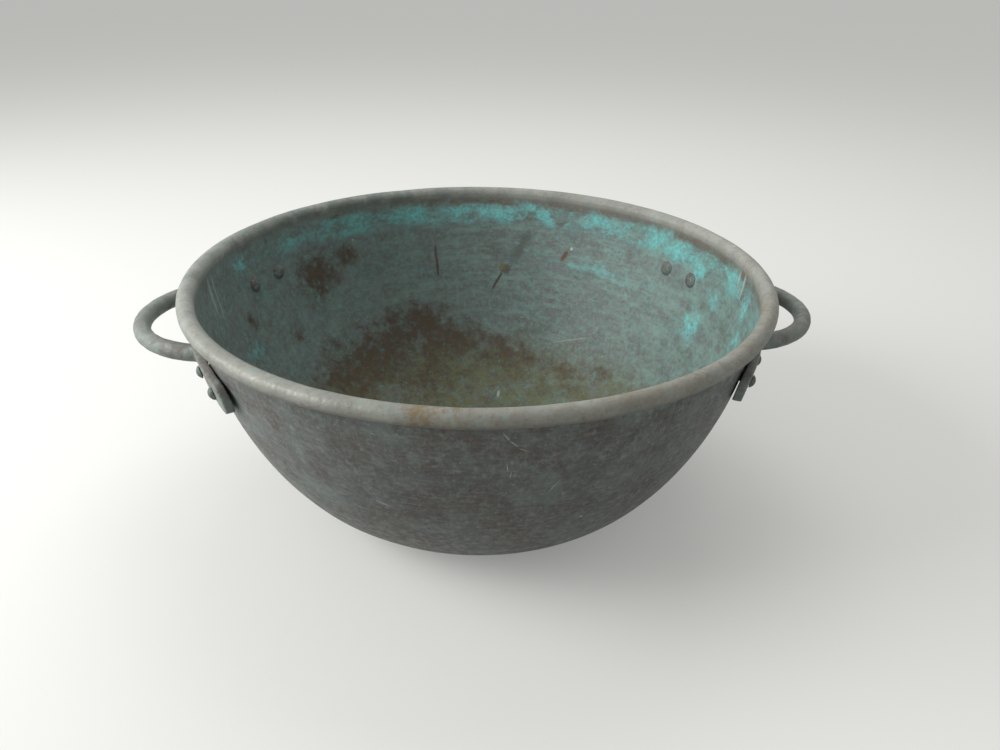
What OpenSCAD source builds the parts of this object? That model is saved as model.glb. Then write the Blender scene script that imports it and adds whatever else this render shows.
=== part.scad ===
// Large copper kettle: a deep round bowl whose edge is rolled over an iron wire,
// with two loop handles whose spread feet are riveted through the wall.
// +X points to the right handle, +Z up; the origin is the centre of the resting face.

/* [Bowl] */
// Outside diameter over the rolled edge
rim_d = 560; // [450:5:700]
// Height from the resting face to the top of the rolled edge
bowl_h = 235; // [180:1:300]
// Diameter of the flat that the bowl rests on
base_d = 196; // [150:1:240]
// Thickness of the copper sheet
sheet_t = 2; // [1.5:0.1:3]
// Fullness of the side: a higher value keeps the wall upright for longer
side_fullness = 1.57; // [1.4:0.01:2.1]
// Fullness of the bottom corner: a higher value makes the turn into the flat tighter
corner_fullness = 2.4; // [2:0.05:3]

/* [Rolled edge] */
// Diameter of the roll across its section
roll_d = 15.3; // [12:0.1:20]
// Play between the wire and the sheet that is rolled round it
wire_play = 0.25; // [0.1:0.05:0.5]
// How far round the wire the sheet's edge stops, short of the wall
roll_end_angle = 235; // [230:1:260]

/* [Handle loops] */
// Diameter of the handle bar
bar_d = 16.5; // [12:0.1:20]
// Bend radius of the left loop, at the middle of the bar
left_loop_r = 79; // [65:1:95]
// Bend radius of the right loop, at the middle of the bar
right_loop_r = 76; // [65:1:95]
// How far the middle of the bar stands out past the rolled edge
loop_reach = 45.5; // [35:0.5:62]
// Depth of the middle of the bar below the top of the rim
bar_drop = 51; // [42:1:60]

/* [Handle feet] */
// Thickness of a foot
foot_t = 8; // [6:0.1:10]
// Height of a foot, which is also the width of its round tip
foot_h = 30; // [24:1:36]
// Depth of the middle of a foot, and of its rivets, below the top of the rim
foot_drop = 57; // [50:1:66]
// Radius to which a foot is bent, flatter than the wall so that its tip stands off
foot_bend_r = 500; // [400:10:800]
// Gap left where the foot comes closest to the wall
foot_play = 0.3; // [0.2:0.05:0.5]
// Distance along the wall from the bar to the first rivet
first_rivet = 20; // [17:1:26]
// Distance along the wall between the two rivets of a foot
rivet_pitch = 42; // [30:1:50]
// Distance along the wall from the second rivet to the middle of the foot's round tip
tip_length = 14; // [8:1:20]

/* [Rivets] */
// Diameter of a rivet's shank
shank_d = 8; // [6:0.1:9]
// Radial play of the shank in its holes
hole_play = 0.1; // [0.05:0.05:0.2]
// Diameter of a rivet head
head_d = 13; // [11:0.1:15]
// Height of a rivet head
head_h = 4.2; // [3:0.1:5]
// Gap between a rivet head and what it seats on
head_play = 0.25; // [0.2:0.05:0.4]
// Diameter of the wider heads inside the bowl
inner_head_d = 18; // [13:0.1:20]
// Height of the heads inside the bowl
inner_head_h = 3.4; // [2:0.1:5]
// Gap between a head inside the bowl and the curved wall under its middle
inner_head_play = 0.4; // [0.3:0.05:0.6]

/* [Hidden] */
$fn = 96;

COPPER = "#6f7a74";
BRONZE = "#5f6a60";
IRON = "#4a4441";
RIVET_METAL = "#56625b";

RIGHT = 0;
LEFT = 180;
BACK = 1;
FRONT = -1;
INNER = 0;
OUTER = 1;

rim_r = rim_d / 2;
roll_r = roll_d / 2;
base_r = base_d / 2;
// Centre of the roll's section
roll_x = rim_r - roll_r;
roll_z = bowl_h - roll_r;
wire_r = roll_r - sheet_t - wire_play;

// The wall's outer face leaves the roll upright and turns into the flat base
wall_top_r = rim_r - roll_d + sheet_t;
wall_depth = roll_z;
WALL_STEPS = 45;
ROLL_STEPS = 36;
// A cut that has to break out through a face runs past it by this much
BREAK_OUT = 1;

// Point on the wall at turn t, from 0 at the roll to 90 at the base, moved in by inset
function wall_point(t, inset = 0) = [
    base_r + (wall_top_r - inset - base_r) * pow(cos(t), 2 / corner_fullness),
    roll_z - (wall_depth - inset) * pow(sin(t), 2 / side_fullness)];

// Turn at which the wall's outer face is this deep below the top of the rim
function turn_at(drop) = asin(pow((drop - roll_r) / wall_depth, side_fullness / 2));

// Radius of the wall's outer face this deep below the top of the rim
function wall_r(drop) = wall_point(turn_at(drop))[0];

// Lean of the wall from upright, taken across one degree of turn on each side
function wall_lean(drop) =
    let (above = wall_point(turn_at(drop) - 1), below = wall_point(turn_at(drop) + 1))
    atan((above[0] - below[0]) / (above[1] - below[1]));

// Angle round the bowl that this length takes up along the foot
function along_wall(length) = length / wall_r(foot_drop) * 180 / PI;

foot_z = bowl_h - foot_drop;
foot_lean = wall_lean(foot_drop);
// The foot is bent flatter than the wall, so it has already left it at the rivets
foot_gap_at_rivet = foot_play
    + pow(rivet_pitch / 2, 2) / 2 * (1 / wall_r(foot_drop) - 1 / foot_bend_r);

// Distance from the bowl's axis to the centre of a loop
function loop_centre(loop_r) = rim_r + loop_reach - loop_r;

// Angle round the bowl at which a loop's bar reaches the middle of its foot
function arm_angle(loop_r) =
    let (meet = wall_r(foot_drop) + foot_t / 2, c = loop_centre(loop_r))
    acos((meet * meet + c * c - loop_r * loop_r) / (2 * meet * c));

// Angle round the bowl of a rivet, measured from the middle of its handle
function rivet_angle(loop_r, place) =
    arm_angle(loop_r) + along_wall(first_rivet + place * rivet_pitch);

// Angle round the bowl of the middle between a foot's two rivets
function foot_angle(loop_r) = arm_angle(loop_r) + along_wall(first_rivet + rivet_pitch / 2);

// Loop radius of the handle on this side
function loop_r_of(side) = side == LEFT ? left_loop_r : right_loop_r;

// Direction round the bowl of a rivet, from +X
function rivet_azimuth(side, end, place) =
    let (a = end * rivet_angle(loop_r_of(side), place))
    side == LEFT ? 180 - a : a;

// Points round the roll's section at this radius, from one angle to another
function roll_arc(r, from, to) = [for (i = [0 : ROLL_STEPS])
    let (a = from + (to - from) * i / ROLL_STEPS)
    [roll_x + r * cos(a), roll_z + r * sin(a)]];

// Half section of the sheet metal, followed up its inner face, over the wire to the rolled
// edge, and back down its outer face
module bowl_section() {
    turns = [for (i = [0 : WALL_STEPS]) 90 * i / WALL_STEPS];
    inner_face = [for (i = [WALL_STEPS : -1 : 1]) wall_point(turns[i], sheet_t)];
    outer_face = [for (i = [1 : WALL_STEPS]) wall_point(turns[i])];
    roll_end = roll_end_angle - 360;
    polygon(concat([[0, 0], [0, sheet_t]],
        inner_face,
        roll_arc(roll_r, 180, roll_end),
        roll_arc(roll_r - sheet_t, roll_end, 180),
        outer_face));
}

// Puts its children on the wall's outer face at this azimuth: x out of the wall, z up along it
module on_wall(azimuth) {
    rotate([0, 0, azimuth])
        translate([wall_r(foot_drop), 0, foot_z])
            rotate([0, foot_lean, 0]) children();
}

// Space that a rivet's shank takes in the wall and in the foot
module rivet_hole() {
    depth = foot_gap_at_rivet + foot_t + BREAK_OUT;
    translate([-sheet_t - BREAK_OUT, 0, 0])
        rotate([0, 90, 0])
            cylinder(h = sheet_t + BREAK_OUT + depth, r = shank_d / 2 + hole_play);
}

module rivet_holes(side) {
    for (end = [BACK, FRONT])
        for (place = [INNER, OUTER])
            on_wall(rivet_azimuth(side, end, place)) rivet_hole();
}

module bowl() {
    color(COPPER)
        difference() {
            rotate_extrude() bowl_section();
            rivet_holes(LEFT);
            rivet_holes(RIGHT);
        }
}

module rim_wire() {
    color(IRON)
        rotate_extrude() translate([roll_x, roll_z]) circle(wire_r);
}

// Everything inside the wall's outer face, grown by the foot's play
module inside_of_wall() {
    turns = [for (i = [0 : WALL_STEPS]) 90 * i / WALL_STEPS];
    rotate_extrude()
        polygon(concat([[0, roll_z]], [for (t = turns) wall_point(t, -foot_play)], [[0, 0]]));
}

// Bent bar of a handle that points along +X, before it is trimmed to the wall
module loop_bar(loop_r) {
    translate([loop_centre(loop_r), 0, bowl_h - bar_drop])
        rotate([0, 0, -120])
            rotate_extrude(angle = 240)
                translate([loop_r, 0]) circle(bar_d / 2);
}

// Outline of a foot as seen square on to the wall, from the bar to its round tip
module foot_outline(heel, tip) {
    translate([heel, -foot_h / 2]) square([tip - heel, foot_h]);
    translate([heel, 0]) circle(foot_h / 2);
    translate([tip, 0]) circle(foot_h / 2);
}

// One foot of a handle that points along +X, on its +Y side
module foot(loop_r) {
    heel = -(rivet_pitch / 2 + first_rivet);
    tip = rivet_pitch / 2 + tip_length;
    slab_h = foot_h + 2 * BREAK_OUT;
    bend_angle = 2 * (tip - heel) / foot_bend_r * 180 / PI;
    rotate([0, 0, foot_angle(loop_r)])
        intersection() {
            translate([wall_r(foot_drop) - foot_bend_r, 0, foot_z])
                rotate([0, 0, -bend_angle / 2])
                    rotate_extrude(angle = bend_angle)
                        translate([foot_bend_r, 0])
                            rotate(-foot_lean)
                                translate([foot_play, -slab_h / 2]) square([foot_t, slab_h]);
            translate([wall_r(foot_drop) - foot_h, 0, foot_z])
                rotate([90, 0, 90])
                    linear_extrude(2 * foot_h) foot_outline(heel, tip);
        }
}

module handle(side) {
    loop_r = loop_r_of(side);
    color(BRONZE)
        difference() {
            rotate([0, 0, side]) {
                difference() {
                    loop_bar(loop_r);
                    inside_of_wall();
                }
                foot(loop_r);
                mirror([0, 1, 0]) foot(loop_r);
            }
            rivet_holes(side);
        }
}

// Domed head whose flat side faces -X
module rivet_head(d, h) {
    dome_r = (d * d / 4 + h * h) / (2 * h);
    rotate([0, 90, 0])
        intersection() {
            translate([0, 0, h - dome_r]) sphere(dome_r);
            cylinder(h = h + BREAK_OUT, r = d / 2 + BREAK_OUT);
        }
}

module rivet(side, end, place) {
    outer_seat = foot_gap_at_rivet + foot_t + head_play;
    inner_seat = sheet_t + inner_head_play;
    color(RIVET_METAL)
        on_wall(rivet_azimuth(side, end, place)) {
            translate([-inner_seat - inner_head_h / 2, 0, 0])
                rotate([0, 90, 0])
                    cylinder(h = inner_seat + outer_seat + (inner_head_h + head_h) / 2, r = shank_d / 2);
            translate([outer_seat, 0, 0]) rivet_head(head_d, head_h);
            translate([-inner_seat, 0, 0]) mirror([1, 0, 0]) rivet_head(inner_head_d, inner_head_h);
        }
}

bowl();
rim_wire();
handle(LEFT);  // left_handle
handle(RIGHT);  // right_handle
rivet(LEFT, BACK, INNER);  // rivet_left_back_inner
rivet(LEFT, BACK, OUTER);  // rivet_left_back_outer
rivet(LEFT, FRONT, INNER);  // rivet_left_front_inner
rivet(LEFT, FRONT, OUTER);  // rivet_left_front_outer
rivet(RIGHT, BACK, INNER);  // rivet_right_back_inner
rivet(RIGHT, BACK, OUTER);  // rivet_right_back_outer
rivet(RIGHT, FRONT, INNER);  // rivet_right_front_inner
rivet(RIGHT, FRONT, OUTER);  // rivet_right_front_outer
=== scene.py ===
"""Copper kettle: a raised bowl with a wired edge and two riveted loop handles, under an old green patina."""

import math

import bmesh
import bpy
import numpy as np
from bpy.props import FloatProperty, FloatVectorProperty, IntProperty
from mathutils import Matrix, Vector, noise


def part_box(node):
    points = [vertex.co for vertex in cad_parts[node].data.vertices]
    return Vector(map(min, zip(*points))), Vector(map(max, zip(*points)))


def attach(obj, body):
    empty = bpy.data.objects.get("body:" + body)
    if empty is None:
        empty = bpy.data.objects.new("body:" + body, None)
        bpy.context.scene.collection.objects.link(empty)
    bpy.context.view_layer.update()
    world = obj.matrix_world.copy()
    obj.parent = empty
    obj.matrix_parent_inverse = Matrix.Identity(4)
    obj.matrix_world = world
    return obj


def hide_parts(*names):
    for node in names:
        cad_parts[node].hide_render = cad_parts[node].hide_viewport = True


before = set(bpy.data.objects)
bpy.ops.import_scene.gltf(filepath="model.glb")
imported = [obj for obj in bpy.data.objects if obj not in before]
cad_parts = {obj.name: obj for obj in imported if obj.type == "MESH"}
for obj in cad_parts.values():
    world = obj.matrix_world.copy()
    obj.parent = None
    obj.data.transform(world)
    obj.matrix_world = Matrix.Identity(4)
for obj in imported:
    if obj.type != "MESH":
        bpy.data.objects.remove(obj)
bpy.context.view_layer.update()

bl_info = {
    "name": "Copper Kettle",
    "version": (1, 0, 0),
    "blender": (4, 5, 0),
    "location": "3D View > Sidebar > Kettle",
    "description": "Builds a weathered copper kettle with a rolled edge and riveted handles",
    "category": "Add Mesh",
}

BODY = "root"
MM = 0.001
WELD = 0.001 * MM

HANDLES = ("left_handle", "right_handle")
RIVETS = tuple(
    f"rivet_{side}_{end}_{place}"
    for side in ("left", "right")
    for end in ("back", "front")
    for place in ("inner", "outer")
)


# Stains on the bowl: bearing in degrees from the right handle, depth below the top, half width and
# half height in millimetres, and how strong each spot is.
STAINS = {
    "outer_soot": (
        (-105, 99, 16, 20, 1), (-102, 124, 20, 12, 1), (-96, 60, 24, 14, 1), (-118, 48, 14, 10, 1),
        (-60, 38, 6, 8, 1), (-57, 53, 5, 6, 1), (40, 80, 22, 24, 1), (110, 110, 26, 20, 1),
        (170, 70, 18, 22, 1), (-75, 70, 30, 20, 0.7)),
    "outer_bloom": (
        (-126, 78, 7, 24, 1), (-125, 115, 26, 16, 1), (-80, 92, 6, 16, 1), (60, 100, 10, 24, 1)),
    "outer_green": (
        (-64, 22, 34, 5, 1), (-120, 30, 12, 4, 0.7), (30, 22, 30, 5, 0.9), (150, 24, 26, 5, 0.8)),
    "inner_residue": (
        (137, 79, 28, 30, 1), (127, 66, 18, 16, 1), (104, 166, 34, 22, 0.9), (118, 175, 44, 26, 1),
        (138, 168, 22, 22, 0.7), (80, 184, 30, 12, 0.8), (165, 88, 9, 9, 1), (15, 70, 8, 20, 0.5),
        (128, 18, 12, 5, 1), (97, 150, 16, 8, 0.6), (150, 130, 12, 14, 0.6), (200, 120, 16, 14, 0.6),
        (-100, 110, 18, 16, 0.5), (-60, 140, 20, 14, 0.6), (110, 160, 62, 26, 1), (128, 188, 66, 40, 1.1),
        (98, 182, 54, 30, 1), (74, 196, 50, 20, 0.9), (142, 196, 40, 44, 1), (110, 215, 60, 30, 0.8),
        (52, 200, 30, 14, 0.7), (38, 190, 20, 14, 0.7)),
    "inner_crust": (
        (106, 30, 19, 12, 1), (95, 27, 30, 7, 0.7), (85, 29, 22, 10, 1), (74, 21, 18, 8, 0.9),
        (54, 27, 26, 9, 0.9), (35, 27, 24, 13, 1), (28, 34, 18, 14, 1), (19, 42, 14, 14, 0.9),
        (5, 33, 13, 16, 0.8), (-6, 42, 10, 20, 0.8), (162, 29, 16, 9, 0.7), (140, 32, 30, 7, 0.75),
        (122, 27, 30, 8, 0.75), (15, 99, 15, 20, 0.8), (-8, 70, 12, 26, 0.6), (10, 60, 12, 14, 0.6),
        (169, 115, 20, 16, 0.4), (-150, 60, 20, 10, 0.5), (-60, 45, 26, 10, 0.6), (-100, 35, 24, 8, 0.5)),
    "inner_tide": ((55, 84, 90, 5, 1), (50, 92, 80, 4, 0.9), (60, 76, 60, 4, 0.9)),
    "edge_tan": (
        (-101, 8, 16, 20, 1), (-96, 10, 12, 16, 0.8), (-57, 5, 12, 14, 0.6), (-24, 5, 14, 14, 0.6),
        (-78, 5, 8, 14, 0.5)),
}
# How strong a stain still is at its ragged rim, and where it has faded out, as a multiple of its half size.
STAIN_RIM = 0.33
STAIN_FADE = 1.5

# Scratches outside: bearing, depth below the top, half width, half length, and tilt in degrees.
SCRATCHES = (
    (-88.6, 28, 0.7, 6.0, 36), (-87.3, 35, 0.6, 6.0, 48), (-85.8, 41, 0.5, 5.0, 62),
    (-88.2, 58, 0.5, 6.0, 10), (-87.6, 66, 0.5, 5.0, -6), (-111, 110, 0.8, 8, 66),
    (-72, 133, 2.0, 3.0, 60), (-80, 84, 0.6, 11, -32), (95, 60, 0.6, 12, 30), (30, 90, 0.6, 9, -35))
SCRATCH_DEPTH = 9
SCRATCH_STRENGTH = 0.75

# Drips, chips and runs inside: as the scratches, then the colour and how strong it is.
MARKS = (
    (74.2, 60, 10, 14, 24, "inside_dark", 0.7), (76.6, 80, 9, 20, 29, "inside_dark", 0.7),
    (75.4, 70, 6, 22, 29, "residue", 0.22), (79.4, 99, 8, 9, 40, "residue", 0.6),
    (80.6, 97, 6, 6, 0, "olive", 0.8), (82, 114, 2.2, 18, 30, "residue", 0.9),
    (100.2, 78, 2.4, 12, 0, "residue", 0.7), (100, 96, 2.2, 15, 0, "residue", 0.85),
    (62.4, 76, 3.6, 10, 26, "rust", 0.9), (60.6, 66, 2.6, 2.6, 0, "dust", 1.0),
    (124, 49, 1.6, 1.6, 0, "dust", 0.7), (78, 228, 2.6, 2.6, 0, "dust", 0.7),
    (178, 36, 3.0, 30, 0, "dust", 0.45), (175.5, 34, 2.0, 34, 0, "dust", 0.4),
    (-1, 22, 3.2, 24, 0, "dust", 0.6), (2.0, 18, 2.4, 22, 0, "dust", 0.5),
    (55, 170, 1.0, 34, 72, "dust", 0.35), (-35, 60, 4, 20, 0, "residue", 0.5))
MARK_DEPTH = 14

# Bands of height in metres: where each starts, is full, is full no more and ends.
BELOW_BASE = (-0.02, -0.01)
DUSTY_FOOT = (0.0, 0.02, 0.06, 0.13)
DAMP_FLOOR = BELOW_BASE + (0.016, 0.075)
FRECKLED_FLOOR = BELOW_BASE + (0.04, 0.12)
CRUST_BAND = (0.186, 0.200, 0.212, 0.219)
WALL_START = (0.035, 0.075)
UNDER_EDGE_START = (0.212, 0.217)

# Hand work and knocks: spans along the wall, the wall's pull inwards, and how often each sort comes round.
WAVE_SPAN = 90 * MM
WAVE_PULL = 0.55
FLAT_WIDTH = 24 * MM
KNOCKS_ROUND = 9.0
NICKS_ROUND = 31.0
SAGS_ROUND = 5.0

# Stage: the floor's reach, drop and glow, the sky's light and look, and the lamps' place, size and watts.
FLOOR_REACH = 60.0
FLOOR_DROP = 0.2 * MM
FLOOR_GLOW = 0.34
SKY_LIGHT = 0.55
SKY_SEEN = 0.93
LAMP_AIM = (0, 0, 0.15)
LAMPS = (("window_lamp", (-1.9, -0.25, 1.15), 1.3, 46), ("top_lamp", (0.2, 0.9, 1.9), 1.4, 12))


def linear(hex_colour):
    """Turns an sRGB hex colour into the linear one that shaders take."""
    parts = [int(hex_colour[i:i + 2], 16) / 255 for i in (1, 3, 5)]
    return tuple(p / 12.92 if p <= 0.04045 else ((p + 0.055) / 1.055) ** 2.4 for p in parts) + (1.0,)


def length(name, description, millimetres, lowest, highest):
    """A size that a user may change, in metres behind a length field."""
    return FloatProperty(name=name, description=description, default=millimetres * MM,
                         min=lowest * MM, max=highest * MM, unit="LENGTH", precision=4)


def colour(name, description, hex_colour):
    """A colour that a user may change."""
    return FloatVectorProperty(name=name, description=description, default=linear(hex_colour),
                               size=4, min=0.0, max=1.0, subtype="COLOR")


class KettleSizes(bpy.types.PropertyGroup):
    """Sizes of the sheet, its edge and the marks that the hammer and the years left"""

    sheet: length("Sheet thickness", "Thickness of the copper sheet", 2, 1, 4)
    base: length("Base width", "Width of the flat rest face", 196, 100, 300)
    side_fullness: FloatProperty(
        name="Side fullness", description="How full the wall's curve stands out down the side",
        default=1.57, min=1.2, max=3.0)
    corner_fullness: FloatProperty(
        name="Corner fullness", description="How square the wall turns into the base",
        default=2.4, min=1.6, max=4.0)
    roll_end: FloatProperty(
        name="Roll end", description="Where the rolled edge stops, tucked in against the wall",
        default=math.radians(235), min=math.radians(180), max=math.radians(260), subtype="ANGLE")
    spin_steps: IntProperty(
        name="Steps round", description="Faces round the bowl", default=300, min=96, max=360)
    wave: length("Wall wave", "How far the wall strays from true over a hand's width", 0.7, 0, 2)
    flat: length("Hammer flats", "Depth of the flats that the planishing hammer left", 0.12, 0, 1)
    edge_dent: length("Edge dents", "Depth of the knocks along the rolled edge", 0.55, 0, 2)
    forge_dent: length("Forge dents", "Depth of the hammer marks on the handles", 0.45, 0, 2)
    peen_dent: length("Peening", "Depth of the hammer marks on the rivet heads", 0.35, 0, 1)


class KettleColours(bpy.types.PropertyGroup):
    """Colours of the bare and the weathered metal; the dark stain colour and both browns also serve as
    painted shade
    """

    outside: colour("Outside", "Brown-grey oxide over the outer wall", "#6b6d6c")
    # Warm brown oxide, also painted shade under the rolled edge and over the rivet heads' upward faces.
    outside_brown_and_shade: colour("Outside brown", "Warmer oxide in blotches", "#5e5450")
    outside_blue: colour("Outside blue", "Thin blue-grey bloom", "#78827f")
    # Dark stain colour, also painted shade: the front of the outer wall and the crease under the edge.
    soot_and_shade: colour("Soot", "Dark stains", "#413e3b")
    dust: colour("Dust", "Pale specks and scratches", "#b3b7b0")
    edge: colour("Edge", "Handled metal on the rolled edge", "#84857d")
    edge_pale: colour("Edge wear", "Rubbed metal on the rolled edge", "#94958d")
    edge_tan: colour("Edge stain", "Tan and orange stain on the rolled edge", "#79694c")
    inside: colour("Inside", "Grey-green oxide over the inner wall", "#6d7674")
    inside_dark: colour("Inside dark", "Deep green-grey oxide", "#55635d")
    verdigris: colour("Verdigris", "Bright turquoise crust", "#74c8c6")
    verdigris_soft: colour("Soft verdigris", "Thin blue-green bloom", "#7d9b91")
    residue: colour("Residue", "Old brown residue", "#4b3a28")
    rust: colour("Rust stain", "Red-brown stain", "#614530")
    olive: colour("Olive", "Yellow-green film on the base", "#686a43")
    handle: colour("Handle", "Grey-green skin on the handles", "#87908a")
    # Brown metal on the handles, also painted shade over their upward faces.
    handle_brown_and_shade: colour("Handle brown", "Bare brown metal on the handles", "#74706a")
    rivet: colour("Rivet", "Darker skin on the rivet heads", "#6b7672")
    wire: colour("Wire", "Iron wire inside the edge", "#4b4038")
    floor: colour("Floor", "Pale studio floor", "#cfcfcc")
    floor_shade: colour("Floor shade", "What the floor throws back on the kettle", "#868b87")


def sizes():
    return bpy.context.scene.kettle_sizes


def colours():
    return bpy.context.scene.kettle_colours


# ---------------------------------------------------------------- the kettle's own shape


class Shape:
    """The bowl's outline, taken from the frame: where its edge rolls and how its wall runs to the base."""

    def __init__(self):
        wire_low, wire_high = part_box("rim_wire")
        bowl_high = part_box("bowl")[1]
        wire_r = (wire_high.z - wire_low.z) / 2
        self.top = bowl_high.z
        self.roll_z = (wire_high.z + wire_low.z) / 2
        self.roll_x = wire_high.x - wire_r
        self.roll_r = bowl_high.z - self.roll_z
        self.base_r = sizes().base / 2
        self.sheet = sizes().sheet
        self.wall_r = self.roll_x - self.roll_r + self.sheet
        self.past_top = (self.top, self.top + 10 * MM)
        # Height band of the painted shade in the crease under the roll.
        self.crease = (self.roll_z - 16 * MM, self.roll_z - 9 * MM) + self.past_top
        # Height band of the painted shade over the roll's underside.
        self.tuck = (self.roll_z - 20 * MM, self.roll_z - 12 * MM, self.roll_z - 6 * MM, self.roll_z)

    def wall(self, turn, inset):
        """Radius and height of the wall: turn 0 is at the roll and a quarter turn at the base."""
        out = max(math.cos(turn), 0.0) ** (2 / sizes().corner_fullness)
        down = math.sin(turn) ** (2 / sizes().side_fullness)
        return (self.base_r + (self.wall_r - inset - self.base_r) * out,
                self.roll_z - (self.roll_z - inset) * down)

    def turn_at(self, drop):
        """The wall's turn at a depth below the top of the edge."""
        down = min(max((drop - self.roll_r) / self.roll_z, 0.0), 1.0)
        return math.asin(down ** (sizes().side_fullness / 2))

    def spot(self, bearing, drop, inset=0.0):
        """The point on the wall at a bearing in degrees from the right handle and a depth in millimetres."""
        radius, height = self.wall(self.turn_at(drop * MM), inset)
        angle = math.radians(bearing)
        return Vector((radius * math.cos(angle), radius * math.sin(angle), height))

    def outline(self):
        """The sheet's section: from the middle of the inner floor over the edge to the middle of the base."""
        wall_steps, roll_steps, floor_steps = 60, 40, 10
        quarter = [math.radians(90) * i / wall_steps for i in range(wall_steps + 1)]
        rings = [i / floor_steps for i in range(floor_steps)]
        swing = sizes().roll_end - 3 * math.pi
        roll = [math.pi + swing * i / roll_steps for i in range(1, roll_steps + 1)]
        inner_floor = [(self.base_r * part, self.sheet) for part in rings]
        inner_wall = [self.wall(turn, self.sheet) for turn in reversed(quarter)]
        outer_roll = [self.on_roll(angle, self.roll_r) for angle in roll]
        inner_roll = [self.on_roll(angle, self.roll_r - self.sheet) for angle in reversed(roll)]
        outer_wall = [self.wall(turn, 0.0) for turn in quarter]
        base = [(self.base_r * part, 0.0) for part in reversed(rings)]
        return inner_floor + inner_wall + outer_roll + inner_roll + outer_wall + base

    def on_roll(self, angle, radius):
        """A point at an angle and a distance round the middle of the roll."""
        return (self.roll_x + radius * math.cos(angle), self.roll_z + radius * math.sin(angle))


def ease(value, start, end):
    """0 before start, 1 after end and smooth between them; start may be the larger."""
    part = min(max((value - start) / (end - start), 0.0), 1.0)
    return part * part * (3 - 2 * part)


def chop(place, size, seed):
    """Flats left by a hammer of that face width: 0 in the middle of a flat, near 1 along its ridges."""
    near = noise.voronoi(place / size + Vector((seed, seed, seed)))[0]
    return min(near[0] / max(near[1], WELD), 1.0) ** 2


def finished(name, mesh_data, slot, material, *nodes):
    """Makes a finished mesh a piece that stands for its CAD nodes."""
    mesh = bpy.data.meshes.new(name)
    mesh_data.to_mesh(mesh)
    mesh_data.free()
    piece = bpy.data.objects.new(name, mesh)
    bpy.context.scene.collection.objects.link(piece)
    mesh.shade_smooth()
    mesh.materials.append(material)
    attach(piece, BODY)
    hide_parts(*nodes)
    return piece


# ---------------------------------------------------------------- finishes


def add(tree, kind, inputs=None, take=None, **settings):
    """Adds a node with its settings, fills or links its inputs and returns one of its outputs."""
    node = tree.nodes.new("ShaderNode" + kind)
    for name, value in settings.items():
        setattr(node, name, value)
    for key, value in (inputs or {}).items():
        named = [s for s in node.inputs if s.name == key and not s.is_unavailable]
        socket = named[0] if named else node.inputs[key]
        if isinstance(value, bpy.types.NodeSocket):
            tree.links.new(value, socket)
        else:
            socket.default_value = value
    shown = [s for s in node.outputs if not s.is_unavailable]
    return node.outputs[take] if take else (shown[0] if shown else node)


def begin_finish(name):
    """An empty material, its tree and the place on the piece that its patterns follow."""
    material = bpy.data.materials.new(name)
    material.use_nodes = True
    tree = material.node_tree
    tree.nodes.clear()
    return material, tree, add(tree, "TexCoord", take="Object")


def end_finish(tree, paint, roughness, metallic, normal):
    """Joins the layers to the shader."""
    shader = add(tree, "BsdfPrincipled", {"Base Color": paint, "Roughness": roughness,
                                          "Metallic": metallic, "Normal": normal})
    add(tree, "OutputMaterial", {"Surface": shader})


def clouds(tree, place, size, start, full, squash=(1, 1, 1), seed=0.0, detail=8.0, rough=0.62):
    """Ragged clouds of a size in millimetres: 0 where they thin out at start, 1 where they are full."""
    moved = add(tree, "Mapping", {"Vector": place, "Location": (seed, seed, seed), "Scale": squash})
    cloud = add(tree, "TexNoise", {"Vector": moved, "Scale": 1 / (size * MM), "Detail": detail,
                                   "Roughness": rough})
    return add(tree, "MapRange", {"Value": cloud, "From Min": start, "From Max": full},
               interpolation_type="SMOOTHSTEP")


def patch(tree, place, centre, bearing, reach, tilt=0.0, ragged=0.9, grain=14.0, soft=0.5):
    """A ragged patch round a point: reach is how far it goes in, sideways and up, in millimetres."""
    local = add(tree, "Mapping", {"Vector": place, "Location": centre,
                                  "Rotation": (math.radians(tilt), 0, math.radians(bearing)),
                                  "Scale": [r * MM for r in reach]}, vector_type="TEXTURE")
    away = add(tree, "VectorMath", {0: local}, take="Value", operation="LENGTH")
    torn = add(tree, "TexNoise", {"Vector": place, "Scale": 1 / (grain * MM), "Detail": 7.0,
                                  "Roughness": 0.68})
    shifted = add(tree, "Math", {0: torn, 1: ragged * 2, 2: away}, operation="MULTIPLY_ADD")
    rim = 1 + ragged
    return add(tree, "MapRange", {"Value": shifted, "From Min": rim, "From Max": rim - soft},
               interpolation_type="SMOOTHSTEP")


def grown(tree, place, stain, grain, ragged=2.2, soft=1.0):
    """A stain that grew from the places listed for it: full at its heart and ragged at its rim."""
    heart = add(tree, "Attribute", take="Fac", attribute_name=stain)
    torn = add(tree, "TexNoise", {"Vector": place, "Scale": 1 / (grain * MM), "Detail": 9.0,
                                  "Roughness": 0.72})
    shifted = add(tree, "Math", {0: torn, 1: ragged, 2: heart}, operation="MULTIPLY_ADD")
    rim = STAIN_RIM + ragged / 2
    thin, full = rim - soft * 0.3, rim + soft * 0.7
    return add(tree, "MapRange", {"Value": shifted, "From Min": thin, "From Max": full},
               interpolation_type="SMOOTHSTEP")


def towards(tree, place, bearing, start, full):
    """A soft side of the kettle: measured in metres from its axis towards a bearing."""
    way = (math.cos(math.radians(bearing)), math.sin(math.radians(bearing)), 0)
    along = add(tree, "VectorMath", {0: place, 1: way}, take="Value", operation="DOT_PRODUCT")
    return add(tree, "MapRange", {"Value": along, "From Min": start, "From Max": full},
               interpolation_type="SMOOTHSTEP")


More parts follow.
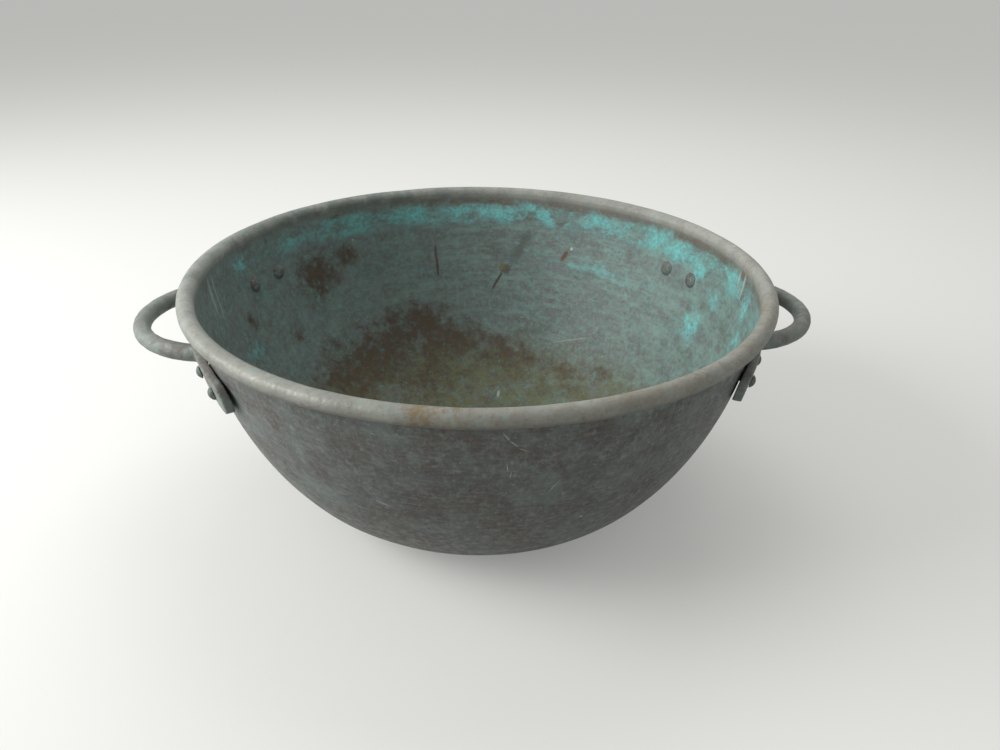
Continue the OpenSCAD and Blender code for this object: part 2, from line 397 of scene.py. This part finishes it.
def between(tree, place, low, low_full, high_full, high):
    """A band of heights in metres, with soft edges."""
    height = add(tree, "SeparateXYZ", {"Vector": place}, take="Z")
    rise = add(tree, "MapRange", {"Value": height, "From Min": low, "From Max": low_full},
               interpolation_type="SMOOTHSTEP")
    fall = add(tree, "MapRange", {"Value": height, "From Min": high, "From Max": high_full},
               interpolation_type="SMOOTHSTEP")
    return add(tree, "Math", {0: rise, 1: fall}, operation="MULTIPLY")


def where(tree, *masks):
    """Only where every one of these masks is; a number thins the whole."""
    together = masks[0]
    for mask in masks[1:]:
        together = add(tree, "Math", {0: together, 1: mask}, operation="MULTIPLY")
    return together


def either(tree, *masks):
    """Wherever any of these masks is."""
    together = masks[0]
    for mask in masks[1:]:
        together = add(tree, "Math", {0: together, 1: mask}, operation="MAXIMUM")
    return together


def coat(tree, under, over, mask):
    """Lays one colour over another where the mask is."""
    return add(tree, "Mix", {"Factor": mask, "A": under, "B": over}, data_type="RGBA")


def level(tree, mask, low, high):
    """A value that runs from low to high with the mask."""
    return add(tree, "MapRange", {"Value": mask, "To Min": low, "To Max": high})


def relief(tree, height, depth, normal=None, strength=1.0):
    """Fine relief of a depth in millimetres, over what lies beneath."""
    inputs = {"Height": height, "Distance": depth * MM, "Strength": strength}
    if normal is not None:
        inputs["Normal"] = normal
    return add(tree, "Bump", inputs)


def outer_layers(tree, place, shape):
    """Outer wall: brown-grey oxide with a blue bloom, dark blotches, wiped streaks, dust and scratches,
    painted shade over the front side and a line of painted shade along the crease under the edge.
    """
    tint = colours()
    bloom = clouds(tree, place, 56, 0.42, 0.62, (1, 1, 1.3), seed=1.3, rough=0.70)
    paint = coat(tree, tint.outside, tint.outside_blue, where(tree, bloom, 0.8))
    blotches = clouds(tree, place, 44, 0.44, 0.62, (1, 1, 1.2), seed=4.1, rough=0.70)
    paint = coat(tree, paint, tint.outside_brown_and_shade, where(tree, blotches, 0.85))
    smoke = clouds(tree, place, 24, 0.50, 0.72, seed=7.7, rough=0.76)
    paint = coat(tree, paint, tint.soot_and_shade, where(tree, smoke, 0.6))
    # Painted shade: the front side of the outer wall is darkened in patches.
    patchy_front_shade = level(tree, clouds(tree, place, 18, 0.36, 0.62, seed=5.9, rough=0.74), 0.35, 0.75)
    front = towards(tree, place, -72, -0.02, 0.24)
    paint = coat(tree, paint, tint.soot_and_shade, where(tree, front, patchy_front_shade, 0.7))
    mottle = clouds(tree, place, 5, 0.48, 0.68, seed=3.9)
    paint = coat(tree, paint, tint.outside_blue, where(tree, mottle, 0.6))
    drawn = clouds(tree, place, 3, 0.47, 0.68, (1, 1, 0.12), seed=6.2, detail=4)
    paint = coat(tree, paint, tint.dust, where(tree, drawn, 0.06))
    paint = coat(tree, paint, tint.soot_and_shade, where(tree, grown(tree, place, "outer_soot", 12), 0.35))
    paint = coat(tree, paint, tint.outside_blue, where(tree, grown(tree, place, "outer_bloom", 9), 0.8))
    wiped = clouds(tree, place, 2.6, 0.46, 0.70, (0.12, 0.12, 1), seed=2.2, detail=4)
    paint = coat(tree, paint, tint.dust, where(tree, wiped, 0.11))
    scuffed = clouds(tree, place, 13, 0.52, 0.74, seed=1.6, rough=0.78)
    paint = coat(tree, paint, tint.dust, where(tree, scuffed, 0.36))
    foot = between(tree, place, *DUSTY_FOOT)
    low_dust = where(tree, foot, clouds(tree, place, 7, 0.45, 0.66, seed=9.4))
    paint = coat(tree, paint, tint.dust, where(tree, low_dust, 0.3))
    specks = clouds(tree, place, 2.6, 0.66, 0.75, seed=5.5, detail=3)
    paint = coat(tree, paint, tint.dust, where(tree, specks, 0.6))
    for bearing, drop, side, up, tilt in SCRATCHES:
        reach = (SCRATCH_DEPTH, side, up)
        line = patch(tree, place, shape.spot(bearing, drop), bearing, reach, tilt, 0.5, 3, 0.7)
        paint = coat(tree, paint, tint.dust, where(tree, line, SCRATCH_STRENGTH))
    # Painted shade: a dark line along the crease under the rolled edge.
    crease = between(tree, place, *shape.crease)
    paint = coat(tree, paint, tint.soot_and_shade, where(tree, crease, clouds(tree, place, 9, 0.3, 0.55), 0.8))
    return coat(tree, paint, tint.verdigris_soft, where(tree, grown(tree, place, "outer_green", 8), 0.6))


def inner_layers(tree, place, shape):
    """Inner wall: grey-green oxide, turquoise crust under the back edge, residue and an olive film below."""
    tint = colours()
    oxide = clouds(tree, place, 40, 0.40, 0.66, (1, 1, 1.4), seed=3.2, rough=0.72)
    paint = coat(tree, tint.inside, tint.inside_dark, where(tree, oxide, 0.8))
    greyed = clouds(tree, place, 46, 0.40, 0.62, (1, 1, 1.8), seed=6.4, rough=0.74)
    paint = coat(tree, paint, tint.outside, where(tree, greyed, 0.8))
    browned = clouds(tree, place, 26, 0.48, 0.66, (1, 1, 2.2), seed=1.5, rough=0.76)
    paint = coat(tree, paint, tint.outside_brown_and_shade, where(tree, browned, 0.6))
    left = towards(tree, place, 158, 0.04, 0.26)
    left_bloom = clouds(tree, place, 16, 0.42, 0.66, seed=0.7, rough=0.74)
    paint = coat(tree, paint, tint.verdigris_soft, where(tree, left, left_bloom, 0.45))
    film = clouds(tree, place, 9, 0.44, 0.66, (0.22, 0.22, 1), seed=8.8, rough=0.7)
    film_side = towards(tree, place, 35, -0.16, 0.20)
    paint = coat(tree, paint, tint.verdigris_soft, where(tree, film, film_side, 0.6))
    grain = clouds(tree, place, 6, 0.47, 0.63, seed=2.9)
    paint = coat(tree, paint, tint.verdigris_soft, where(tree, grain, 0.35))
    wall_part = between(tree, place, *WALL_START, *shape.past_top)
    right_bloom = clouds(tree, place, 20, 0.38, 0.66, seed=1.9, rough=0.74)
    right = where(tree, towards(tree, place, 0, 0.08, 0.26), right_bloom)
    paint = coat(tree, paint, tint.verdigris_soft, where(tree, right, wall_part, 0.65))
    # Darker red-brown band just under the edge inside, towards the back.
    under_edge = between(tree, place, *UNDER_EDGE_START, *shape.past_top)
    back = towards(tree, place, 50, 0.05, 0.2)
    under_edge_clouds = clouds(tree, place, 30, 0.36, 0.56, seed=5.0)
    paint = coat(tree, paint, tint.rust, where(tree, under_edge, back, under_edge_clouds, 0.6))
    base_part = between(tree, place, *DAMP_FLOOR)
    slime = clouds(tree, place, 34, 0.34, 0.62, seed=4.4, rough=0.72)
    paint = coat(tree, paint, tint.olive, where(tree, base_part, slime, 0.9))
    dregs = clouds(tree, place, 22, 0.44, 0.66, seed=7.2, rough=0.76)
    paint = coat(tree, paint, tint.residue, where(tree, base_part, dregs, 0.75))
    freckle = clouds(tree, place, 9, 0.52, 0.66, seed=3.7)
    freckled = between(tree, place, *FRECKLED_FLOOR)
    paint = coat(tree, paint, tint.rust, where(tree, freckle, freckled, 0.45))
    pitted = clouds(tree, place, 5, 0.50, 0.68, seed=9.1)
    paint = coat(tree, paint, tint.inside_dark, where(tree, pitted, 0.5))
    flecks = clouds(tree, place, 3, 0.54, 0.70, seed=4.7)
    paint = coat(tree, paint, tint.verdigris_soft, where(tree, flecks, 0.5))
    burnt = grown(tree, place, "inner_residue", 15, soft=0.7)
    paint = coat(tree, paint, tint.residue, where(tree, burnt, 0.93))
    moss = clouds(tree, place, 10, 0.44, 0.66, seed=6.1, rough=0.75)
    paint = coat(tree, paint, tint.olive, where(tree, moss, base_part, 0.75))
    rusty = clouds(tree, place, 12, 0.50, 0.70, seed=2.2, rough=0.75)
    around = grown(tree, place, "inner_residue", 24)
    paint = coat(tree, paint, tint.rust, where(tree, rusty, around, 0.5))
    return inner_marks(tree, place, shape, paint)


def inner_marks(tree, place, shape, paint):
    """The crust, drips and small marks over the inner wall, and the mask of the crust alone."""
    tint = colours()
    crust_band = where(tree, between(tree, place, *CRUST_BAND), towards(tree, place, 62, -0.12, 0.20))
    torn = where(tree, clouds(tree, place, 20, 0.42, 0.60, (0.6, 0.6, 1), seed=2.4, rough=0.76), 0.9)
    crust = where(tree, crust_band, torn)
    crust = either(tree, crust, grown(tree, place, "inner_crust", 10))
    patchy = level(tree, clouds(tree, place, 4, 0.36, 0.60, seed=5.2), 0.45, 1.0)
    paint = coat(tree, paint, tint.verdigris, where(tree, crust, patchy))
    broken = clouds(tree, place, 8, 0.42, 0.6, (0.2, 0.2, 1), seed=8.1)
    tide = where(tree, grown(tree, place, "inner_tide", 12), broken)
    paint = coat(tree, paint, tint.verdigris, where(tree, tide, 0.55))
    for bearing, drop, side, up, tilt, tone, much in MARKS:
        spot = shape.spot(bearing, drop, shape.sheet)
        mark = patch(tree, place, spot, bearing, (MARK_DEPTH, side, up), tilt, 0.5, 5, 0.5)
        paint = coat(tree, paint, getattr(tint, tone), where(tree, mark, much))
    return paint, crust


def edge_layers(tree, place, shape):
    """Rolled edge: rubbed pale by hands, paler towards both handle ends, with tan stains in front and on the
    right, grime at the back, and painted shade over the underside of the roll.
    """
    tint = colours()
    rubbed = clouds(tree, place, 30, 0.36, 0.66, seed=1.1, rough=0.7)
    paint = coat(tree, tint.edge, tint.edge_pale, rubbed)
    stain_side = towards(tree, place, -32, 0.02, 0.25)
    stained = clouds(tree, place, 18, 0.40, 0.66, seed=7.3, rough=0.72)
    paint = coat(tree, paint, tint.edge_tan, where(tree, stain_side, stained, 0.45))
    back = towards(tree, place, 138, 0.12, 0.26)
    dulled = clouds(tree, place, 18, 0.34, 0.6, seed=2.6)
    paint = coat(tree, paint, tint.inside_dark, where(tree, back, dulled, 0.7))
    tan = grown(tree, place, "edge_tan", 7, soft=0.7)
    paint = coat(tree, paint, tint.edge_tan, where(tree, tan, 0.95))
    # Paler towards both handle ends, in patches.
    ends = either(tree, towards(tree, place, 178, 0.20, 0.28), towards(tree, place, 12, 0.20, 0.28))
    paler_end_clouds = clouds(tree, place, 24, 0.30, 0.60, seed=6.7)
    paint = coat(tree, paint, tint.dust, where(tree, ends, paler_end_clouds, 0.42))
    grime = clouds(tree, place, 4, 0.50, 0.70, seed=4.9)
    paint = coat(tree, paint, tint.outside_brown_and_shade, where(tree, grime, 0.3))
    green = clouds(tree, place, 8, 0.52, 0.66, seed=9.9)
    paint = coat(tree, paint, tint.verdigris_soft, where(tree, green, 0.35))
    # Painted shade: the underside of the roll is darkened towards brown.
    under = between(tree, place, *shape.tuck)
    return coat(tree, paint, tint.outside_brown_and_shade, where(tree, under, 0.6))


def weathered_copper(shape):
    """Copper sheet, raised and planished by hand, then left outdoors: matt oxide and crust over metal that
    still has a faint sheen where it is thin, and a smoother, paler edge where hands have rubbed it."""
    material, tree, place = begin_finish("weathered_copper")
    inner = add(tree, "Attribute", take="Fac", attribute_name="inner")
    bead = add(tree, "Attribute", take="Fac", attribute_name="bead")
    outer_paint = outer_layers(tree, place, shape)
    inner_paint, crust = inner_layers(tree, place, shape)
    edge_paint = edge_layers(tree, place, shape)
    crusted = where(tree, crust, inner)
    paint = coat(tree, coat(tree, outer_paint, inner_paint, inner), edge_paint, bead)
    grain = clouds(tree, place, 3.2, 0.3, 0.7, seed=3.3, detail=6)
    fine = clouds(tree, place, 1.1, 0.3, 0.7, seed=6.6, detail=4)
    hammered = add(tree, "TexVoronoi", {"Vector": place, "Scale": 1 / (17 * MM), "Smoothness": 0.6},
                   feature="SMOOTH_F1")
    normal = relief(tree, hammered, 1.1, strength=0.2)
    normal = relief(tree, grain, 0.35, normal, 0.35)
    normal = relief(tree, fine, 0.12, normal, 0.4)
    normal = relief(tree, crusted, 0.5, normal, 0.6)
    rough = level(tree, either(tree, crusted, where(tree, grain, 0.5)), 0.5, 0.86)
    metal = level(tree, either(tree, crusted, where(tree, inner, 0.8)), 0.35, 0.0)
    end_finish(tree, paint, rough, metal, normal)
    return material


def weathered_bronze(name, skin, brown, size=1.0):
    """Forged bronze, left rough, with a grey-green skin patched with brown and painted shade that darkens its
    upward faces towards brown: half matt and softly dimpled.
    """
    material, tree, place = begin_finish(name)
    tint = colours()
    paint = coat(tree, skin, brown, clouds(tree, place, 22 * size, 0.42, 0.62, seed=2.0))
    # Painted shade: faces that look upwards are darkened towards brown in patches.
    height = add(tree, "SeparateXYZ", {"Vector": add(tree, "NewGeometry", take="Normal")}, take="Z")
    upper = add(tree, "MapRange", {"Value": height, "From Min": 0.1, "From Max": 0.9},
                interpolation_type="SMOOTHSTEP")
    upward_shade_clouds = clouds(tree, place, 14 * size, 0.35, 0.6, seed=3.1)
    paint = coat(tree, paint, brown, where(tree, upper, upward_shade_clouds, 0.55))
    green = clouds(tree, place, 7 * size, 0.48, 0.70, seed=5.8, rough=0.74)
    paint = coat(tree, paint, tint.verdigris_soft, where(tree, green, 0.4))
    dark = clouds(tree, place, 6 * size, 0.54, 0.74, seed=8.3, rough=0.74)
    paint = coat(tree, paint, tint.soot_and_shade, where(tree, dark, 0.4))
    specks = clouds(tree, place, 2.2, 0.62, 0.74, seed=1.7, detail=3)
    paint = coat(tree, paint, tint.dust, where(tree, specks, 0.4))
    lumps = clouds(tree, place, 6 * size, 0.3, 0.7, seed=4.0)
    pits = clouds(tree, place, 1.6, 0.3, 0.7, seed=7.0, detail=5)
    normal = relief(tree, lumps, 0.5, strength=0.6)
    normal = relief(tree, pits, 0.2, normal, 0.6)
    end_finish(tree, paint, level(tree, lumps, 0.48, 0.78), level(tree, pits, 0.3, 0.1), normal)
    return material


def rusted_iron():
    """Iron wire that the edge is rolled over: dull, dark and rusted where the damp reaches it."""
    material, tree, place = begin_finish("rusted_iron")
    tint = colours()
    paint = coat(tree, tint.wire, tint.rust, clouds(tree, place, 7, 0.4, 0.6))
    scale = clouds(tree, place, 2.5, 0.3, 0.7, seed=2.5)
    end_finish(tree, paint, level(tree, scale, 0.65, 0.9), level(tree, scale, 0.4, 0.0),
               relief(tree, scale, 0.3, strength=0.7))
    return material


# ---------------------------------------------------------------- pieces


class KETTLE_OT_bowl(bpy.types.Operator):
    """Raise the bowl: one sheet from its flat base to the edge rolled over the wire"""

    bl_idname = "kettle.bowl"
    bl_label = "Bowl"

    def execute(self, context):
        shape = Shape()
        bowl = bmesh.new()
        corners = [bowl.verts.new((radius, 0, height)) for radius, height in shape.outline()]
        section = [bowl.edges.new(pair) for pair in zip(corners, corners[1:])]
        bmesh.ops.spin(bowl, geom=corners + section, axis=(0, 0, 1), cent=(0, 0, 0), dvec=(0, 0, 0),
                       angle=2 * math.pi, steps=sizes().spin_steps, use_merge=True)
        bmesh.ops.remove_doubles(bowl, verts=bowl.verts, dist=WELD)
        bmesh.ops.recalc_face_normals(bowl, faces=bowl.faces)
        bowl.normal_update()
        zones = [self.zone(shape, vert) for vert in bowl.verts]
        places = np.array([vert.co for vert in bowl.verts])
        for vert in bowl.verts:
            vert.co += self.wear(shape, vert)
        piece = finished("bowl_sheet", bowl, "copper_sheet", weathered_copper(shape), "bowl")
        masks = {"inner": [zone[0] for zone in zones], "bead": [zone[1] for zone in zones]}
        masks.update((stain, self.stain(shape, places, hearts)) for stain, hearts in STAINS.items())
        for name, values in masks.items():
            mask = piece.data.attributes.new(name, "FLOAT", "POINT")
            mask.data.foreach_set("value", values)
        return {"FINISHED"}

    def zone(self, shape, vert):
        """How far a point of the sheet belongs to the inside and to the rolled edge."""
        radius = math.hypot(vert.co.x, vert.co.y)
        from_roll = math.hypot(radius - shape.roll_x, vert.co.z - shape.roll_z)
        radial = Vector((vert.co.x, vert.co.y, 0)).normalized()
        facing = vert.normal.z - vert.normal.dot(radial)
        return (1.0 if facing > 0 else 0.0, ease(from_roll, shape.roll_r + 3 * MM, shape.roll_r + 0.2 * MM))

    def stain(self, shape, places, hearts):
        """How near each point is to the heart of a stain: 1 there, fading to 0 beyond its reach."""
        radius = np.hypot(places[:, 0], places[:, 1])
        bearing = np.arctan2(places[:, 1], places[:, 0])
        mask = np.zeros(len(places))
        for turn, drop, side, up, much in hearts:
            heart = shape.spot(turn, drop)
            round_way = np.angle(np.exp(1j * (bearing - math.radians(turn)))) * radius
            up_way = np.hypot(radius - heart.xy.length, places[:, 2] - heart.z)
            away = np.hypot(round_way / (side * MM), up_way / (up * MM))
            mask = np.maximum(mask, much * np.clip(1 - away / STAIN_FADE, 0, 1))
        return mask

    def wear(self, shape, vert):
        """How far hand work and knocks moved a point: both faces of the sheet move together."""
        radius = math.hypot(vert.co.x, vert.co.y)
        out = Vector((vert.co.x, vert.co.y, 0)).normalized()
        from_roll = math.hypot(radius - shape.roll_x, vert.co.z - shape.roll_z)
        on_edge = ease(from_roll, shape.roll_r + 6 * MM, shape.roll_r)
        on_wall = ease(vert.co.z, 4 * MM, 50 * MM) * (1 - on_edge)
        column = Vector((out.x, out.y, vert.co.z / shape.roll_x)) * shape.roll_x
        wave = (noise.noise(column / WAVE_SPAN) - WAVE_PULL) * sizes().wave
        flats = -(1 - chop(column, FLAT_WIDTH, 3.0)) * sizes().flat
        knocks = (min(noise.noise(out * KNOCKS_ROUND + Vector((4, 1, 2))), 0.0)
                  + 0.5 * min(noise.noise(out * NICKS_ROUND), 0.0)) * sizes().edge_dent
        sag = min(noise.noise(out * SAGS_ROUND + Vector((8, 3, 1))), 0.0) * sizes().edge_dent
        return out * ((wave + flats) * on_wall + knocks * on_edge) + Vector((0, 0, sag * on_edge))


def forged_copy(node, voxel, rounds, dent, mark, slot, material):
    """A hand-forged version of a CAD piece: its corners softened and its skin marked by the hammer."""
    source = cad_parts[node]
    soft = bmesh.new()
    soft.from_mesh(source.data)
    bmesh.ops.remove_doubles(soft, verts=soft.verts, dist=WELD)
    shell = bpy.data.meshes.new(node + "_shell")
    soft.to_mesh(shell)
    soft.free()
    holder = bpy.data.objects.new(node + "_shell", shell)
    bpy.context.scene.collection.objects.link(holder)
    remesh = holder.modifiers.new("Even skin", "REMESH")
    remesh.mode = "VOXEL"
    remesh.voxel_size = voxel
    even = holder.evaluated_get(bpy.context.evaluated_depsgraph_get()).to_mesh()
    skin = bmesh.new()
    skin.from_mesh(even)
    bpy.data.objects.remove(holder)
    for _ in range(rounds):
        bmesh.ops.smooth_vert(skin, verts=skin.verts, factor=0.5, use_axis_x=True, use_axis_y=True,
                              use_axis_z=True)
    skin.normal_update()
    for vert in skin.verts:
        hit = (1 - chop(vert.co, mark, 1.0)) * 0.6 + 0.4 * (noise.noise(vert.co / (mark * 1.7)) + 0.5)
        vert.co -= vert.normal * dent * hit
    return finished(node + "_forged", skin, slot, material, node)


class KETTLE_OT_handles(bpy.types.Operator):
    """Forge both loop handles, each one bar with its feet drawn out flat"""

    bl_idname = "kettle.handles"
    bl_label = "Handles"

    def execute(self, context):
        # The handles' brown also paints shade over their upward faces.
        finish = weathered_bronze("weathered_bronze", colours().handle, colours().handle_brown_and_shade)
        for node in HANDLES:
            forged_copy(node, voxel=1.1 * MM, rounds=4, dent=sizes().forge_dent, mark=13 * MM,
                        slot="forged_handle", material=finish)
        return {"FINISHED"}


class KETTLE_OT_rivets(bpy.types.Operator):
    """Set the rivets, each with a head peened over outside and inside"""

    bl_idname = "kettle.rivets"
    bl_label = "Rivets"

    def execute(self, context):
        # The outer brown also paints shade over the rivet heads' upward faces.
        finish = weathered_bronze("rivet_bronze", colours().rivet, colours().outside_brown_and_shade, 0.4)
        for node in RIVETS:
            forged_copy(node, voxel=0.5 * MM, rounds=3, dent=sizes().peen_dent, mark=4.5 * MM,
                        slot="rivet_metal", material=finish)
        return {"FINISHED"}


class KETTLE_OT_rim_wire(bpy.types.Operator):
    """Finish the iron wire inside the rolled edge"""

    bl_idname = "kettle.rim_wire"
    bl_label = "Edge wire"

    def execute(self, context):
        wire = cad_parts["rim_wire"]
        finish = rusted_iron()
        wire.data.materials.clear()
        wire.data.materials.append(finish)
        return {"FINISHED"}


# ---------------------------------------------------------------- stage


def place_camera():
    """Stands the camera where the kettle is seen from: in front, a little over half a metre up."""
    away, above_edge, lens = 752.7 * MM, 287.9 * MM, 29.62
    bearing, heading = math.radians(-92.74), math.radians(85.65)
    pitch, roll = math.radians(28.54), math.radians(0.99)
    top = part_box("bowl")[1].z
    level_way = Vector((math.cos(heading), math.sin(heading), 0))
    forward = level_way * math.cos(pitch) - Vector((0, 0, math.sin(pitch)))
    across = Vector((math.sin(heading), -math.cos(heading), 0))
    upright = across.cross(forward)
    right = across * math.cos(roll) + upright * math.sin(roll)
    up = upright * math.cos(roll) - across * math.sin(roll)
    turned = Matrix((right, up, -forward)).transposed().to_4x4()
    at = Vector((away * math.cos(bearing), away * math.sin(bearing), top + above_edge))
    data = bpy.data.cameras.new("camera")
    data.lens = lens
    data.sensor_width = 36.0
    data.clip_start = 0.01
    camera = bpy.data.objects.new("camera", data)
    camera.matrix_world = Matrix.Translation(at) @ turned
    bpy.context.scene.collection.objects.link(camera)
    bpy.context.scene.camera = camera


def place_lamp(name, at, aim, size, power):
    """A soft square lamp that faces a point."""
    data = bpy.data.lights.new(name, "AREA")
    data.shape = "SQUARE"
    data.size = size
    data.energy = power
    lamp = bpy.data.objects.new(name, data)
    lamp.location = at
    lamp.rotation_mode = "QUATERNION"
    lamp.rotation_quaternion = (Vector(aim) - Vector(at)).to_track_quat("-Z", "Y")
    bpy.context.scene.collection.objects.link(lamp)


def seen_directly(tree):
    """1 for what the camera, a gloss or a glass sees, 0 for the light that the surface gives."""
    path = add(tree, "LightPath", take="Is Camera Ray").node
    return either(tree, path.outputs["Is Camera Ray"], path.outputs["Is Glossy Ray"],
                  path.outputs["Is Transmission Ray"])


class KETTLE_OT_stage(bpy.types.Operator):
    """Set the pale floor, the soft lamps and the camera"""

    bl_idname = "kettle.stage"
    bl_label = "Stage"

    def execute(self, context):
        floor = bmesh.new()
        bmesh.ops.create_grid(floor, x_segments=1, y_segments=1, size=FLOOR_REACH)
        bmesh.ops.translate(floor, verts=floor.verts, vec=(0, 0, -FLOOR_DROP))
        mesh = bpy.data.meshes.new("floor")
        floor.to_mesh(mesh)
        floor.free()
        ground = bpy.data.objects.new("floor", mesh)
        context.scene.collection.objects.link(ground)
        material, tree, _ = begin_finish("floor_paint")
        seen = seen_directly(tree)
        shade = coat(tree, colours().floor_shade, colours().floor, seen)
        glow = add(tree, "Emission", {"Color": colours().floor, "Strength": where(tree, seen, FLOOR_GLOW)})
        paint = add(tree, "BsdfDiffuse", {"Color": shade})
        top = add(tree, "AddShader", {0: paint, 1: glow})
        under = add(tree, "NewGeometry", take="Backfacing")
        clear = add(tree, "BsdfTransparent")
        add(tree, "OutputMaterial", {"Surface": add(tree, "MixShader", {0: under, 1: top, 2: clear})})
        mesh.materials.append(material)

        world = bpy.data.worlds.new("studio")
        world.use_nodes = True
        world.node_tree.nodes.clear()
        glow = level(world.node_tree, seen_directly(world.node_tree), SKY_LIGHT, SKY_SEEN)
        sky = add(world.node_tree, "Background", {"Strength": glow})
        add(world.node_tree, "OutputWorld", {"Surface": sky})
        context.scene.world = world

        for name, at, size, power in LAMPS:
            place_lamp(name, at, LAMP_AIM, size, power)
        place_camera()
        context.scene.view_settings.view_transform = "Standard"
        return {"FINISHED"}


class KETTLE_PT_parts(bpy.types.Panel):
    """Everything the kettle is made of, with the sizes and colours to change first"""

    bl_idname = "KETTLE_PT_parts"
    bl_label = "Copper Kettle"
    bl_space_type = "VIEW_3D"
    bl_region_type = "UI"
    bl_category = "Kettle"

    def draw(self, context):
        for group in (context.scene.kettle_sizes, context.scene.kettle_colours):
            box = self.layout.box()
            for name in group.__annotations__:
                box.prop(group, name)
        for operator in OPERATORS:
            self.layout.operator(operator.bl_idname)


OPERATORS = (KETTLE_OT_bowl, KETTLE_OT_rim_wire, KETTLE_OT_handles, KETTLE_OT_rivets, KETTLE_OT_stage)
CLASSES = (KettleSizes, KettleColours) + OPERATORS + (KETTLE_PT_parts,)


def register():
    for cls in CLASSES:
        bpy.utils.register_class(cls)
    bpy.types.Scene.kettle_sizes = bpy.props.PointerProperty(type=KettleSizes)
    bpy.types.Scene.kettle_colours = bpy.props.PointerProperty(type=KettleColours)


def unregister():
    del bpy.types.Scene.kettle_colours
    del bpy.types.Scene.kettle_sizes
    for cls in reversed(CLASSES):
        bpy.utils.unregister_class(cls)


def main():
    register()
    bpy.ops.kettle.bowl()
    bpy.ops.kettle.rim_wire()
    bpy.ops.kettle.handles()
    bpy.ops.kettle.rivets()
    bpy.ops.kettle.stage()


if __name__ == "__main__":
    main()
